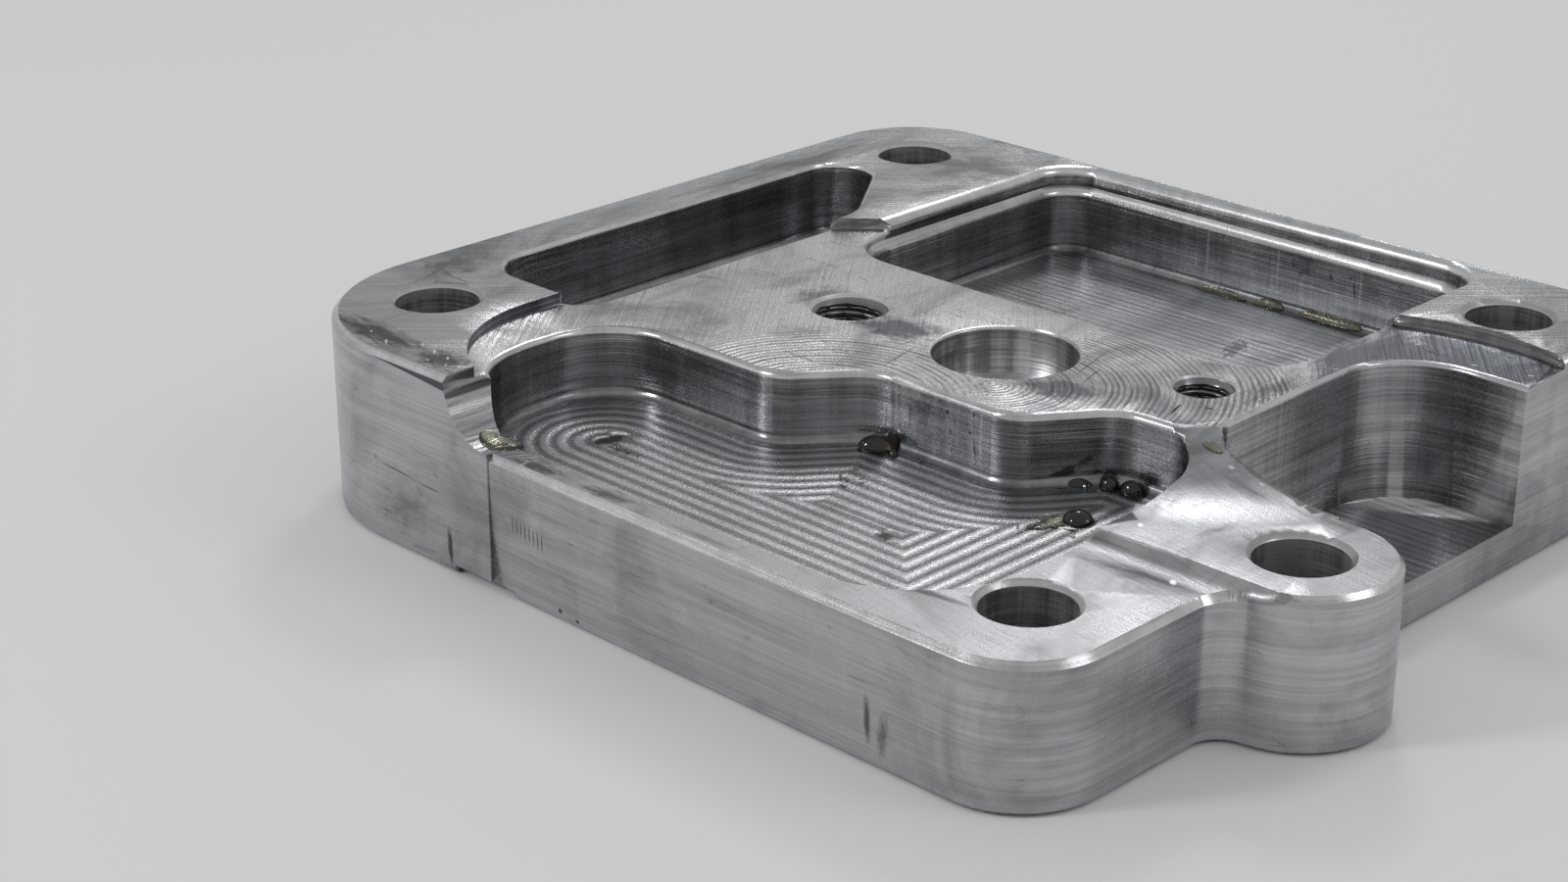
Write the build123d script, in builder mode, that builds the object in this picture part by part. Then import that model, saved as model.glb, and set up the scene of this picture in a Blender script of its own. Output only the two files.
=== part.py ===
# Machined aluminium plate: corner bosses, three blind pockets, an open notch and a bolting ear.
# Millimetres, +Z up. The origin is the axis of the front left bolt hole on the base plane.
# X runs along the long front face and Y runs from the front face to the back face.
import os
from build123d import *

# Levels above the base plane
top_z = 21.2
web_z = 20.0
pad_z = 15.6
shelf_z = 14.6
deep_z = 10.8
floor_z = 12.4
notch_z = 5.0

# Bolt hole rectangle and outer faces
bolt_dx = 84.0
bolt_dy = 75.5
wall_left = 12.0
wall_right = 11.0
wall_front = 14.5
wall_back = 12.0
x_left = -wall_left
x_right = bolt_dx + wall_right
y_front = -wall_front
y_back = bolt_dy + wall_back
corner_left_r = 19.0
corner_far_r = 12.0
corner_back_r = 11.0
corner_front_r = 9.0

# Through holes: clearance for M8, taps for M8 and M6, counterbored centre bore
clear_r = 4.5
hole_break = 0.55
corner_hole = (84.5, -2.5)
ear_hole = (96.8, 20.8)
tap_large = (31.0, 31.2)
tap_large_r = 3.4
tap_large_mouth_r = 4.4
tap_small = (72.1, 38.8)
tap_small_r = 2.5
tap_small_mouth_r = 3.25
centre_bore = (51.7, 32.4)
centre_bore_r = 7.5
centre_bore_depth = 5.1
centre_break = 0.35

# Ear around its hole and the fillet that joins it to the right face
ear_r = 9.2
ear_fillet_r = 3.5

# Left ramp, right step and the wide hollow that runs down from the small tapped hole to the ear
ramp_r = 6.4
ramp_foot_x = 25.1
face_step = 0.15
pad_step_y = 9.5
hollow_r = 23.6
hollow_foot_r = 24.2

# Web level boundary arcs
boss_arc = (25.5, 5.5)
boss_arc_r = 17.3
rear_arc = (86.5, 41.5)
rear_arc_r = 28.0
rear_step_y = 51.5
web_join_y = 56.5

# Front pocket outline
p1_left_x = 15.1
p1_left_r = 11.0
p1_back_r = 8.2
p1_front_y = -11.2
p1_left_y = 11.15
p1_mid_y = 19.2
p1_right_y = 28.3
p1_right_x = 80.2
p1_front_corner_r = 13.5
p1_bay_w = 24.2
p1_slope_run = 6.6
p1_lobe_w = 9.9
p1_wave_r = 5.0
p1_right_r = 3.8

# Side pocket and rear pocket outlines
p2_x0 = -4.8
p2_x1 = 11.0
p2_y0 = 10.4
p2_y1 = 66.2
p2_slant_x = 9.4
p2_slant_y = 13.0
p2_near_r = 6.0
p2_lip_r = 4.0
p2_slant_r = 9.0
p2_far_r = 4.0
p3_x0 = 16.0
p3_x1 = 74.8
p3_y0 = 45.0
p3_y1 = 85.4
p3_near_r = 8.0
p3_far_r = 5.0
p3_ledge_drop = 2.3
p3_ledge_w = 1.0

# Notch open to the right face
notch_x = 79.5
notch_y0 = ear_hole[1] + ear_r
notch_y1 = 61.1
notch_near_r = 3.0
notch_far_r = 8.5

# Edge breaks, floor fillets and the relief in the lower front edge
rim_break = 0.5
p1_break = 0.65
p3_break = 0.9
outer_break = 0.7
base_break = 0.4
floor_fillet = 1.2
relief_x = 24.0
relief_w = 9.0
relief_h = 0.9
relief_d = 3.0

over = 5.0
near = 0.01


def on_outline(part, outline, level):
    """Edges of the part at one level whose middle lies on the given outline."""
    wire = outline.wire().moved(Location((0, 0, level)))
    edges = part.edges().filter_by_position(Axis.Z, level - near, level + near)
    return ShapeList([e for e in edges if wire.distance_to(e @ 0.5) < near])


# Body outline with the ear
with BuildSketch() as body_sk:
    with BuildLine():
        FilletPolyline(
            (x_left, y_front),
            (ramp_foot_x, y_front),
            (ramp_foot_x, y_front + face_step),
            (x_right, y_front + face_step),
            (x_right, y_back),
            (x_left, y_back),
            radius=(corner_left_r, 0, 0, corner_front_r, corner_back_r, corner_far_r),
            close=True,
        )
    make_face()
    with Locations(ear_hole):
        Circle(ear_r)
        Rectangle(ear_hole[0] - x_right + over, ear_r, align=(Align.MAX, Align.MIN))
    seam = body_sk.vertices().filter_by_position(Axis.X, x_right - near, x_right + near)
    seam = seam.filter_by_position(Axis.Y, ear_hole[1] - ear_r - over, ear_hole[1])
    fillet(seam.sort_by(Axis.Y)[-1], ear_fillet_r)

# Web level region, with a slanted step between the side and rear pockets
rear_step_x = (p2_x1 + p3_x0) / 2
with BuildSketch() as web_sk:
    with BuildLine():
        Polyline(
            (boss_arc[0] - boss_arc_r, boss_arc[1]),
            (rear_step_x - over, rear_step_y - over),
            (rear_step_x + over, rear_step_y + over),
            (p3_x1, web_join_y),
            (ear_hole[0] + ear_r + over, notch_y0),
            (ear_hole[0] + ear_r + over, y_front - over),
            (ramp_foot_x, y_front - over),
            close=True,
        )
    make_face()
    with Locations(boss_arc):
        Circle(boss_arc_r)
    with Locations(rear_arc):
        Circle(rear_arc_r)

# Front pocket: round left end and a wavy back wall
with BuildSketch() as p1_sk:
    with BuildLine():
        FilletPolyline(
            (p1_left_x, p1_front_y),
            (p1_right_x, p1_front_y),
            (p1_right_x, p1_right_y),
            (p1_right_x - p1_lobe_w, p1_right_y),
            (p1_right_x - p1_lobe_w - p1_slope_run, p1_mid_y),
            (p1_left_x + p1_bay_w + p1_slope_run, p1_mid_y),
            (p1_left_x + p1_bay_w, p1_left_y),
            (p1_left_x, p1_left_y),
            radius=(
                p1_left_r, p1_front_corner_r, p1_right_r, p1_wave_r,
                p1_wave_r, p1_wave_r, p1_wave_r, p1_back_r,
            ),
            close=True,
        )
    make_face()

# Side pocket
with BuildSketch() as p2_sk:
    with BuildLine():
        FilletPolyline(
            (p2_x0, p2_y0),
            (p2_x1, p2_y0),
            (p2_x1, p2_y1 - p2_slant_y),
            (p2_x1 - p2_slant_x, p2_y1),
            (p2_x0, p2_y1),
            radius=(p2_near_r, p2_lip_r, p2_slant_r, p2_far_r, p2_far_r),
            close=True,
        )
    make_face()

# Rear pocket rim and the lower outline inside its ledge
with BuildSketch() as p3_sk:
    with BuildLine():
        FilletPolyline(
            (p3_x0, p3_y0),
            (p3_x1, p3_y0),
            (p3_x1, p3_y1),
            (p3_x0, p3_y1),
            radius=(p3_near_r, p3_near_r, p3_far_r, p3_far_r),
            close=True,
        )
    make_face()
with BuildSketch() as p3_low_sk:
    add(p3_sk.sketch)
    offset(amount=-p3_ledge_w)

# Notch
with BuildSketch() as notch_sk:
    with BuildLine():
        FilletPolyline(
            (notch_x, notch_y0),
            (x_right + 3 * over, notch_y0),
            (x_right + 3 * over, notch_y1),
            (notch_x, notch_y1),
            radius=(notch_near_r, 0, 0, notch_far_r),
            close=True,
        )
    make_face()

# Material that the pad cut leaves round the small tapped hole: level, then hollow down to the pad
with BuildPart() as flare:
    with BuildSketch(Plane.XZ):
        with BuildLine():
            drop = web_z - pad_z
            crest = hollow_foot_r - (hollow_r**2 - (hollow_r - drop) ** 2) ** 0.5
            tall = top_z + over
            low = pad_z - over
            RadiusArc((crest, web_z), (hollow_foot_r, pad_z), -hollow_r)
            Polyline((hollow_foot_r, pad_z), (hollow_foot_r, low), (0, low), (0, tall), (crest, tall), (crest, web_z))
        make_face()
    revolve(axis=Axis.Z)

# Front shelf with the concave ramp at its left end
far_x = ear_hole[0] + ear_r + over
ramp_top_z = shelf_z + ramp_r
shelf_y = p1_front_y + p1_left_r / 2
with BuildPart() as shelf_cut:
    with BuildSketch(Plane.XZ.offset(-shelf_y)):
        with BuildLine():
            RadiusArc((ramp_foot_x - ramp_r, ramp_top_z), (ramp_foot_x, shelf_z), -ramp_r)
            Polyline(
                (ramp_foot_x, shelf_z),
                (far_x, shelf_z),
                (far_x, top_z + over),
                (ramp_foot_x - ramp_r, top_z + over),
                (ramp_foot_x - ramp_r, ramp_top_z),
            )
        make_face()
    extrude(amount=shelf_y - y_front + over)

# Right shelf, the small step and the ear pad
with BuildPart() as pad_cut:
    with BuildSketch(Plane.YZ.offset(tap_small[0])):
        with BuildLine():
            lift = pad_z - shelf_z
            rise = (ramp_r**2 - (ramp_r - lift) ** 2) ** 0.5
            step_y = pad_step_y + rise
            back = notch_y0 + notch_near_r / 2
            front = y_front - over
            RadiusArc((pad_step_y, shelf_z), (step_y, pad_z), -ramp_r)
            Polyline(
                (step_y, pad_z),
                (back, pad_z),
                (back, top_z + over),
                (front, top_z + over),
                (front, shelf_z),
                (pad_step_y, shelf_z),
            )
        make_face()
    extrude(amount=far_x - tap_small[0])
    with Locations((tap_small[0], tap_small[1], 0)):
        add(flare.part, mode=Mode.SUBTRACT)

with BuildPart() as plate:
    # Blank, the lowered web and the notch
    with BuildSketch():
        add(body_sk.sketch)
    extrude(amount=top_z)
    with BuildSketch(Plane.XY.offset(web_z)):
        add(web_sk.sketch)
    extrude(amount=over, mode=Mode.SUBTRACT)
    with BuildSketch(Plane.XY.offset(notch_z)):
        add(notch_sk.sketch)
    extrude(amount=top_z + over - notch_z, mode=Mode.SUBTRACT)

    # Front pocket with its rim broken at web level
    with BuildSketch(Plane.XY.offset(floor_z)):
        add(p1_sk.sketch)
    extrude(amount=top_z + over - floor_z, mode=Mode.SUBTRACT)
    chamfer(on_outline(plate.part, p1_sk.sketch, web_z), p1_break)

    # Ear pad with its edge break, then the lower shelves
    with BuildSketch(Plane.XY.offset(pad_z)):
        with Locations((x_right - ear_fillet_r, notch_y0 + over)):
            Rectangle(far_x, notch_y0 + over - y_front + over, align=(Align.MIN, Align.MAX))
        with Locations(tap_small):
            Circle(hollow_foot_r, mode=Mode.SUBTRACT)
    extrude(amount=top_z + over - pad_z, mode=Mode.SUBTRACT)
    ear_rim = on_outline(plate.part, body_sk.sketch, pad_z)
    ear_rim = ear_rim.filter_by(lambda e: (e @ 0.5).X > x_right + near and (e @ 0.5).Y < notch_y0 - near)
    chamfer(ear_rim, rim_break)
    add(shelf_cut.part, mode=Mode.SUBTRACT)
    add(pad_cut.part, mode=Mode.SUBTRACT)

    # Side pocket and rear pocket
    for sketch, bottom in ((p2_sk, floor_z), (p3_low_sk, deep_z)):
        with BuildSketch(Plane.XY.offset(bottom)):
            add(sketch.sketch)
        extrude(amount=top_z + over - bottom, mode=Mode.SUBTRACT)
    with BuildSketch(Plane.XY.offset(top_z - p3_ledge_drop)):
        add(p3_sk.sketch)
    extrude(amount=over, mode=Mode.SUBTRACT)

    # Floor fillets
    for sketch, level in ((p1_sk, floor_z), (p2_sk, floor_z), (p3_low_sk, deep_z)):
        fillet(on_outline(plate.part, sketch.sketch, level), floor_fillet)

    # Edge breaks
    for sketch, level, size in (
        (p2_sk, top_z, rim_break),
        (p2_sk, web_z, rim_break),
        (p3_sk, top_z, p3_break),
        (p3_sk, web_z, rim_break),
        (p3_low_sk, top_z - p3_ledge_drop, p3_ledge_w - near),
        (notch_sk, web_z, rim_break),
        (body_sk, top_z, outer_break),
        (body_sk, 0, base_break),
    ):
        chamfer(on_outline(plate.part, sketch.sketch, level), size)
    shelf_rim = on_outline(plate.part, body_sk.sketch, shelf_z)
    chamfer(shelf_rim.filter_by(lambda e: e.length > 2 * face_step), outer_break)

    # Relief in the lower front edge
    with BuildSketch(Plane.XZ.offset(-y_front)):
        with Locations((relief_x, 0)):
            Rectangle(relief_w, 2 * relief_h)
    extrude(amount=-relief_d, mode=Mode.SUBTRACT)

    # Clearance holes with broken mouths
    for spot, level in (
        ((0, 0), top_z),
        ((0, bolt_dy), top_z),
        ((bolt_dx, bolt_dy), top_z),
        (corner_hole, shelf_z),
        (ear_hole, pad_z),
    ):
        with Locations((spot[0], spot[1], level)):
            CounterSinkHole(clear_r, clear_r + hole_break, depth=level, counter_sink_angle=90)

    # Tapped holes and the counterbored centre bore
    for spot, hole_r, mouth_r in (
        (tap_large, tap_large_r, tap_large_mouth_r),
        (tap_small, tap_small_r, tap_small_mouth_r),
    ):
        with Locations((spot[0], spot[1], web_z)):
            CounterSinkHole(hole_r, mouth_r, depth=web_z, counter_sink_angle=90)
    with Locations((centre_bore[0], centre_bore[1], web_z)):
        CounterSinkHole(centre_bore_r, centre_bore_r + centre_break, depth=centre_bore_depth, counter_sink_angle=90)
        Hole(clear_r, depth=web_z)

part = plate.part
part.label = "plate"
os.makedirs("parts", exist_ok=True)
export_step(part, "parts/plate.step")
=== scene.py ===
import math

import bmesh
import bpy
import numpy as np
from mathutils import Matrix, Vector, noise
from mathutils.bvhtree import BVHTree


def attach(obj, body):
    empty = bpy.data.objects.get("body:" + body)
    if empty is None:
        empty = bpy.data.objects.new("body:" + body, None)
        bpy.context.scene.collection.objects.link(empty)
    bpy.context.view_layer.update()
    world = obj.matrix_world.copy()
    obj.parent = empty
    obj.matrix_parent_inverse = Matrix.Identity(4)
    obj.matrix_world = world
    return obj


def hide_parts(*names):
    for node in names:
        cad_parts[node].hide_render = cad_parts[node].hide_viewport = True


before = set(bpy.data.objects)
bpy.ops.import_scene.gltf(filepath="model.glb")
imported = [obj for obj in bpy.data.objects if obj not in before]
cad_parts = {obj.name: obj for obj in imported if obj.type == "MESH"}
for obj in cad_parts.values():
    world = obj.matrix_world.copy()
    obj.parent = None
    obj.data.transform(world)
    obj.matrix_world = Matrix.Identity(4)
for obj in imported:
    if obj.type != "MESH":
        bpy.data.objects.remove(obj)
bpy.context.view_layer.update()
mm = 0.001
print("frame loaded")

# Levels and places of the part in mm, as the solid has them
levels = {
    "boss": 21.2, "web": 20.0, "pad": 15.6, "shelf": 14.6, "floor": 12.4, "deep": 10.8, "notch": 5.0,
}
tapLarge = {
    "x": 31.0, "y": 31.2, "core": 3.4, "depth": 0.62, "pitch": 1.25, "mouth": 4.4, "top": 20.0,
    "columns": 72,
}
tapSmall = {
    "x": 72.1, "y": 38.8, "core": 2.5, "depth": 0.5, "pitch": 1.0, "mouth": 3.25, "top": 20.0,
    "columns": 60,
}


# Node trees: small helpers shared by every finish
def newNode(tree, kind, **settings):
    node = tree.nodes.new(kind)
    for name, value in settings.items():
        setattr(node, name, value)
    return node


def mathNode(tree, operation, first, second=None, clamp=False):
    node = newNode(tree, "ShaderNodeMath", operation=operation, use_clamp=clamp)
    for socket, value in zip(node.inputs, (first, second)):
        if value is None:
            continue
        if isinstance(value, (int, float)):
            socket.default_value = value
        else:
            tree.links.new(value, socket)
    return node.outputs[0]


def mixColour(tree, amount, first, second):
    node = newNode(tree, "ShaderNodeMix", data_type="RGBA")
    for socket, value in zip((node.inputs[0], node.inputs[6], node.inputs[7]), (amount, first, second)):
        if isinstance(value, (int, float, tuple)):
            socket.default_value = value
        else:
            tree.links.new(value, socket)
    return node.outputs[2]


def blendValue(tree, amount, first, second):
    node = newNode(tree, "ShaderNodeMix", data_type="FLOAT")
    for socket, value in zip((node.inputs[0], node.inputs[2], node.inputs[3]), (amount, first, second)):
        tree.links.new(value, socket)
    return node.outputs[0]


def noiseNode(tree, vector, scale, detail=2.0, rough=0.5, distortion=0.0):
    node = newNode(tree, "ShaderNodeTexNoise")
    node.inputs["Scale"].default_value = scale
    node.inputs["Detail"].default_value = detail
    node.inputs["Roughness"].default_value = rough
    node.inputs["Distortion"].default_value = distortion
    tree.links.new(vector, node.inputs["Vector"])
    return node.outputs[0]


def remap(tree, value, low, high, outLow=0.0, outHigh=1.0, smooth=True):
    node = newNode(tree, "ShaderNodeMapRange", interpolation_type="SMOOTHSTEP" if smooth else "LINEAR")
    for name, number in (("From Min", low), ("From Max", high), ("To Min", outLow), ("To Max", outHigh)):
        node.inputs[name].default_value = number
    tree.links.new(value, node.inputs["Value"])
    return node.outputs[0]


def mapped(tree, vector, location=(0, 0, 0), rotation=(0, 0, 0), scale=(1, 1, 1)):
    node = newNode(tree, "ShaderNodeMapping")
    node.inputs["Location"].default_value = location
    node.inputs["Rotation"].default_value = rotation
    node.inputs["Scale"].default_value = scale
    tree.links.new(vector, node.inputs["Vector"])
    return node.outputs[0]


def splitNode(tree, vector):
    node = newNode(tree, "ShaderNodeSeparateXYZ")
    tree.links.new(vector, node.inputs[0])
    return node.outputs


def spanNode(tree, x, y):
    squares = [mathNode(tree, "MULTIPLY", part, part) for part in (x, y)]
    return mathNode(tree, "SQRT", mathNode(tree, "ADD", *squares))


def newGroup(name, inputs, outputs):
    group = bpy.data.node_groups.new(name, "ShaderNodeTree")
    for label, kind, value in inputs:
        socket = group.interface.new_socket(label, in_out="INPUT", socket_type=kind)
        if value is not None:
            socket.default_value = value
    for label, kind in outputs:
        group.interface.new_socket(label, in_out="OUTPUT", socket_type=kind)
    return group, group.nodes.new("NodeGroupInput").outputs, group.nodes.new("NodeGroupOutput").inputs


# Straight cutter lines along x of the vector: a steady pitch, broken by streaks drawn out along the feed
def makeFeedLines():
    group, take, give = newGroup(
        "feedLines",
        [("Vector", "NodeSocketVector", None), ("Pitch", "NodeSocketFloat", 0.0006),
         ("Wander", "NodeSocketFloat", 0.2), ("Streaks", "NodeSocketFloat", 0.4)],
        [("Height", "NodeSocketFloat")],
    )
    split = splitNode(group, take["Vector"])
    sway = noiseNode(group, mapped(group, take["Vector"], scale=(0.25, 1, 0.25)), 600, 2)
    line = mathNode(group, "DIVIDE", split[1], take["Pitch"])
    line = mathNode(group, "ADD", line, mathNode(group, "MULTIPLY", sway, take["Wander"]))
    wave = mathNode(group, "SINE", mathNode(group, "MULTIPLY", line, math.tau))
    depth = noiseNode(group, mapped(group, take["Vector"], scale=(0.1, 1, 1)), 900, 3)
    depth = remap(group, depth, 0.3, 0.7, 0.3, 1.0)
    streak = noiseNode(group, mapped(group, take["Vector"], scale=(0.03, 1, 0.03)), 2600, 3, 0.6)
    streak = remap(group, streak, 0.3, 0.7, -1.0, 1.0, smooth=False)
    height = blendValue(group, take["Streaks"], mathNode(group, "MULTIPLY", wave, depth), streak)
    group.links.new(height, give["Height"])
    return group


# Arcs that a round cutter leaves while it works round one corner: rings about the vector's origin
def makeFeedArcs():
    group, take, give = newGroup(
        "feedArcs",
        [("Vector", "NodeSocketVector", None), ("Outer", "NodeSocketFloat", 0.02),
         ("Pitch", "NodeSocketFloat", 0.0006)],
        [("Height", "NodeSocketFloat"), ("Reach", "NodeSocketFloat")],
    )
    x, y, _ = splitNode(group, take["Vector"])
    along = spanNode(group, x, y)
    sway = noiseNode(group, take["Vector"], 170, 2)
    turn = mathNode(group, "DIVIDE", along, take["Pitch"])
    turn = mathNode(group, "ADD", turn, mathNode(group, "MULTIPLY", sway, 1.1))
    wave = mathNode(group, "SINE", mathNode(group, "MULTIPLY", turn, math.tau))
    spread = newNode(group, "ShaderNodeCombineXYZ")
    group.links.new(mathNode(group, "MULTIPLY", x, 0.05), spread.inputs[0])
    group.links.new(along, spread.inputs[1])
    streak = noiseNode(group, spread.outputs[0], 1500, 4, 0.7)
    streak = remap(group, streak, 0.36, 0.64, -1.0, 1.0, smooth=False)
    wave, streak = mathNode(group, "MULTIPLY", wave, 0.75), mathNode(group, "MULTIPLY", streak, 0.6)
    group.links.new(mathNode(group, "ADD", wave, streak), give["Height"])
    ragged = mathNode(group, "MULTIPLY", noiseNode(group, take["Vector"], 90, 3), 0.006)
    inside = mathNode(group, "SUBTRACT", take["Outer"], mathNode(group, "ADD", along, ragged))
    group.links.new(remap(group, inside, -0.002, 0.002), give["Reach"])
    return group


# Side-milled walls: level lines from the cutter's teeth, and upright bands that are chatter in the bump
# and painted reflection streaks in the tone
def makeWallLines():
    group, take, give = newGroup(
        "wallLines",
        [("Vector", "NodeSocketVector", None), ("Bands", "NodeSocketFloat", 0.4)],
        [("Height", "NodeSocketFloat"), ("Tone", "NodeSocketFloat")],
    )
    wide = noiseNode(group, mapped(group, take["Vector"], scale=(0.03, 0.03, 1)), 900, 4, 0.65)
    fine = noiseNode(group, mapped(group, take["Vector"], scale=(0.02, 0.02, 1)), 3600, 2, 0.5)
    wide = remap(group, wide, 0.36, 0.64, -0.8, 0.8, smooth=False)
    fine = remap(group, fine, 0.36, 0.64, -0.6, 0.6, smooth=False)
    level = mathNode(group, "ADD", wide, fine)
    tall = noiseNode(group, mapped(group, take["Vector"], scale=(1, 1, 0.04)), 420, 4, 0.65)
    tall = remap(group, tall, 0.36, 0.64, -1.0, 1.0, smooth=False)
    total = mathNode(group, "ADD", level, mathNode(group, "MULTIPLY", tall, take["Bands"]))
    group.links.new(total, give["Height"])
    group.links.new(remap(group, total, -1.2, 1.2, 0.0, 1.0, smooth=False), give["Tone"])
    return group


# Smears of coolant and handling: cloudy patches, small spots and fine speckle
def makeSmears():
    group, take, give = newGroup(
        "smears",
        [("Vector", "NodeSocketVector", None), ("Clouds", "NodeSocketFloat", 0.5),
         ("Spots", "NodeSocketFloat", 0.5)],
        [("Mask", "NodeSocketFloat"), ("Speckle", "NodeSocketFloat")],
    )
    spread = mapped(group, take["Vector"], rotation=(0, 0, 0.5), scale=(1, 0.55, 1))
    wide = noiseNode(group, spread, 75, 5, 0.62, 0.8)
    patch = mathNode(group, "MULTIPLY", remap(group, wide, 0.44, 0.70), take["Clouds"])
    small = noiseNode(group, take["Vector"], 620, 3, 0.6)
    spots = mathNode(group, "MULTIPLY", remap(group, small, 0.69, 0.75), take["Spots"])
    group.links.new(mathNode(group, "MAXIMUM", patch, spots, clamp=True), give["Mask"])
    fine = noiseNode(group, take["Vector"], 5200, 2, 0.6)
    group.links.new(remap(group, fine, 0.35, 0.65), give["Speckle"])
    return group


# Thin scratches: lines of a stretched noise, gated so that only short runs of them show
def makeScratches():
    group, take, give = newGroup(
        "scratches",
        [("Vector", "NodeSocketVector", None), ("Amount", "NodeSocketFloat", 0.5)],
        [("Mask", "NodeSocketFloat")],
    )
    found = None
    for turn, seed in ((0.35, 0.0), (-0.9, 0.03), (1.4, 0.07)):
        flat = mapped(group, take["Vector"], (seed, seed, 0), (0, 0, turn), (0.05, 1.0, 0.3))
        line = noiseNode(group, flat, 700, 0, 0.5, 0.2)
        away = mathNode(group, "ABSOLUTE", mathNode(group, "SUBTRACT", line, 0.5))
        thin = mathNode(group, "SUBTRACT", 1.0, remap(group, away, 0.0, 0.012))
        gate = noiseNode(group, mapped(group, take["Vector"], location=(seed, 0.1, 0)), 170, 2)
        gate = remap(group, gate, 0.60, 0.66)
        mark = mathNode(group, "MULTIPLY", thin, gate)
        found = mark if found is None else mathNode(group, "MAXIMUM", found, mark)
    group.links.new(mathNode(group, "MULTIPLY", found, take["Amount"]), give["Mask"])
    return group


# One placed mark: a patch of unit size round the vector's origin, with a ragged rim
def makeStain():
    group, take, give = newGroup(
        "stain",
        [("Vector", "NodeSocketVector", None), ("Ragged", "NodeSocketFloat", 0.5),
         ("Soft", "NodeSocketFloat", 0.5)],
        [("Mask", "NodeSocketFloat")],
    )
    x, y, _ = splitNode(group, take["Vector"])
    reach = spanNode(group, x, y)
    rough = noiseNode(group, take["Vector"], 2.2, 4, 0.65)
    rough = remap(group, rough, 0.25, 0.75, -1.0, 1.0, smooth=False)
    reach = mathNode(group, "ADD", reach, mathNode(group, "MULTIPLY", rough, take["Ragged"]))
    inside = mathNode(group, "SUBTRACT", 1.0, reach)
    soft = mathNode(group, "MAXIMUM", take["Soft"], 0.01)
    group.links.new(mathNode(group, "DIVIDE", inside, soft, clamp=True), give["Mask"])
    return group


# Murk in a drop of fluid: soft clouds a few millimetres wide
def makeMurk():
    group, take, give = newGroup(
        "murk", [("Vector", "NodeSocketVector", None)], [("Mask", "NodeSocketFloat")])
    group.links.new(remap(group, noiseNode(group, take["Vector"], 300, 2), 0.35, 0.65), give["Mask"])
    return group


groups = {
    "lines": makeFeedLines(), "arcs": makeFeedArcs(), "wall": makeWallLines(),
    "smears": makeSmears(), "scratches": makeScratches(), "stain": makeStain(), "murk": makeMurk(),
}


def placeGroup(tree, name, vector, **values):
    node = newNode(tree, "ShaderNodeGroup", node_tree=groups[name])
    tree.links.new(vector, node.inputs["Vector"])
    for label, value in values.items():
        node.inputs[label].default_value = value
    return node.outputs


# Lays one stain for each row of a list of marks and keeps the strongest at every point
def placeMarks(tree, vector, places):
    found = None
    for x, y, length, width, turn, strength, ragged, soft in places:
        node = newNode(tree, "ShaderNodeMapping", vector_type="TEXTURE")
        node.inputs["Location"].default_value = (x * mm, y * mm, 0)
        node.inputs["Rotation"].default_value = (0, 0, math.radians(turn))
        node.inputs["Scale"].default_value = (length * mm / 2, width * mm / 2, 1)
        tree.links.new(vector, node.inputs["Vector"])
        mask = placeGroup(tree, "stain", node.outputs[0], Ragged=ragged, Soft=soft)["Mask"]
        mask = mathNode(tree, "MULTIPLY", mask, strength)
        found = mask if found is None else mathNode(tree, "MAXIMUM", found, mask)
    return found


def tint(colour, factor):
    return tuple(min(1.0, c * factor) for c in colour) + (1.0,)


finishes = {}


# One aluminium finish: tone, stains and painted shade, painted highlights, roughness and the cutter marks
# it is given
def makeMetal(name, look, marks, turn=None, stainsAndShade=(), cuts=(), lights=()):
    metal = bpy.data.materials.new(name)
    metal.use_nodes = True
    tree = metal.node_tree
    shader = tree.nodes["Principled BSDF"]
    shader.inputs["Metallic"].default_value = look["metal"]
    place = newNode(tree, "ShaderNodeTexCoord").outputs["Object"]
    face = mapped(tree, place, rotation=turn) if turn else place
    smear = placeGroup(tree, "smears", place, Clouds=look["clouds"], Spots=look["spots"])
    cut = placeGroup(tree, "scratches", face, Amount=look["scratch"])["Mask"]
    dirtAndShade = smear["Mask"]
    # the stain rows hold real stains and, in some lists, painted shade
    if stainsAndShade:
        dirtAndShade = mathNode(tree, "MAXIMUM", dirtAndShade, placeMarks(tree, face, stainsAndShade))
    if cuts:
        cut = mathNode(tree, "MAXIMUM", cut, placeMarks(tree, face, cuts))
    height, ridge = marks(tree, place)
    tone, dark = look["tone"], look["dark"]
    low = mixColour(tree, dirtAndShade, tint(tone, 1 - look["contrast"]), tint(dark, 1 - look["contrast"]))
    bright = tint(tone, 1 + look["contrast"] * 0.35)
    high = mixColour(tree, dirtAndShade, bright, tint(dark, 1 + look["contrast"]))
    shade = mixColour(tree, ridge, low, high)
    # painted highlights: the listed patches are mixed towards a lighter tone
    if lights:
        shade = mixColour(tree, placeMarks(tree, face, lights), shade, tint(tone, 1.5))
    shade = mixColour(tree, cut, shade, tint(dark, 0.22))
    tree.links.new(shade, shader.inputs["Base Color"])
    roughness = mathNode(tree, "MULTIPLY", smear["Speckle"], 0.1)
    roughness = mathNode(tree, "ADD", roughness, look["rough"] - 0.05)
    roughness = mathNode(tree, "ADD", roughness, mathNode(tree, "MULTIPLY", dirtAndShade, 0.06))
    tree.links.new(roughness, shader.inputs["Roughness"])
    bump = newNode(tree, "ShaderNodeBump")
    bump.inputs["Distance"].default_value = look["grain"]
    speckle = mathNode(tree, "MULTIPLY", smear["Speckle"], look["speckle"])
    total = mathNode(tree, "ADD", height, speckle)
    total = mathNode(tree, "SUBTRACT", total, mathNode(tree, "MULTIPLY", cut, 2.5))
    tree.links.new(total, bump.inputs["Height"])
    tree.links.new(bump.outputs[0], shader.inputs["Normal"])
    finishes[name] = metal


def toTone(tree, height):
    return remap(tree, height, -0.7, 0.7, 0.0, 1.0, smooth=False)


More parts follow.
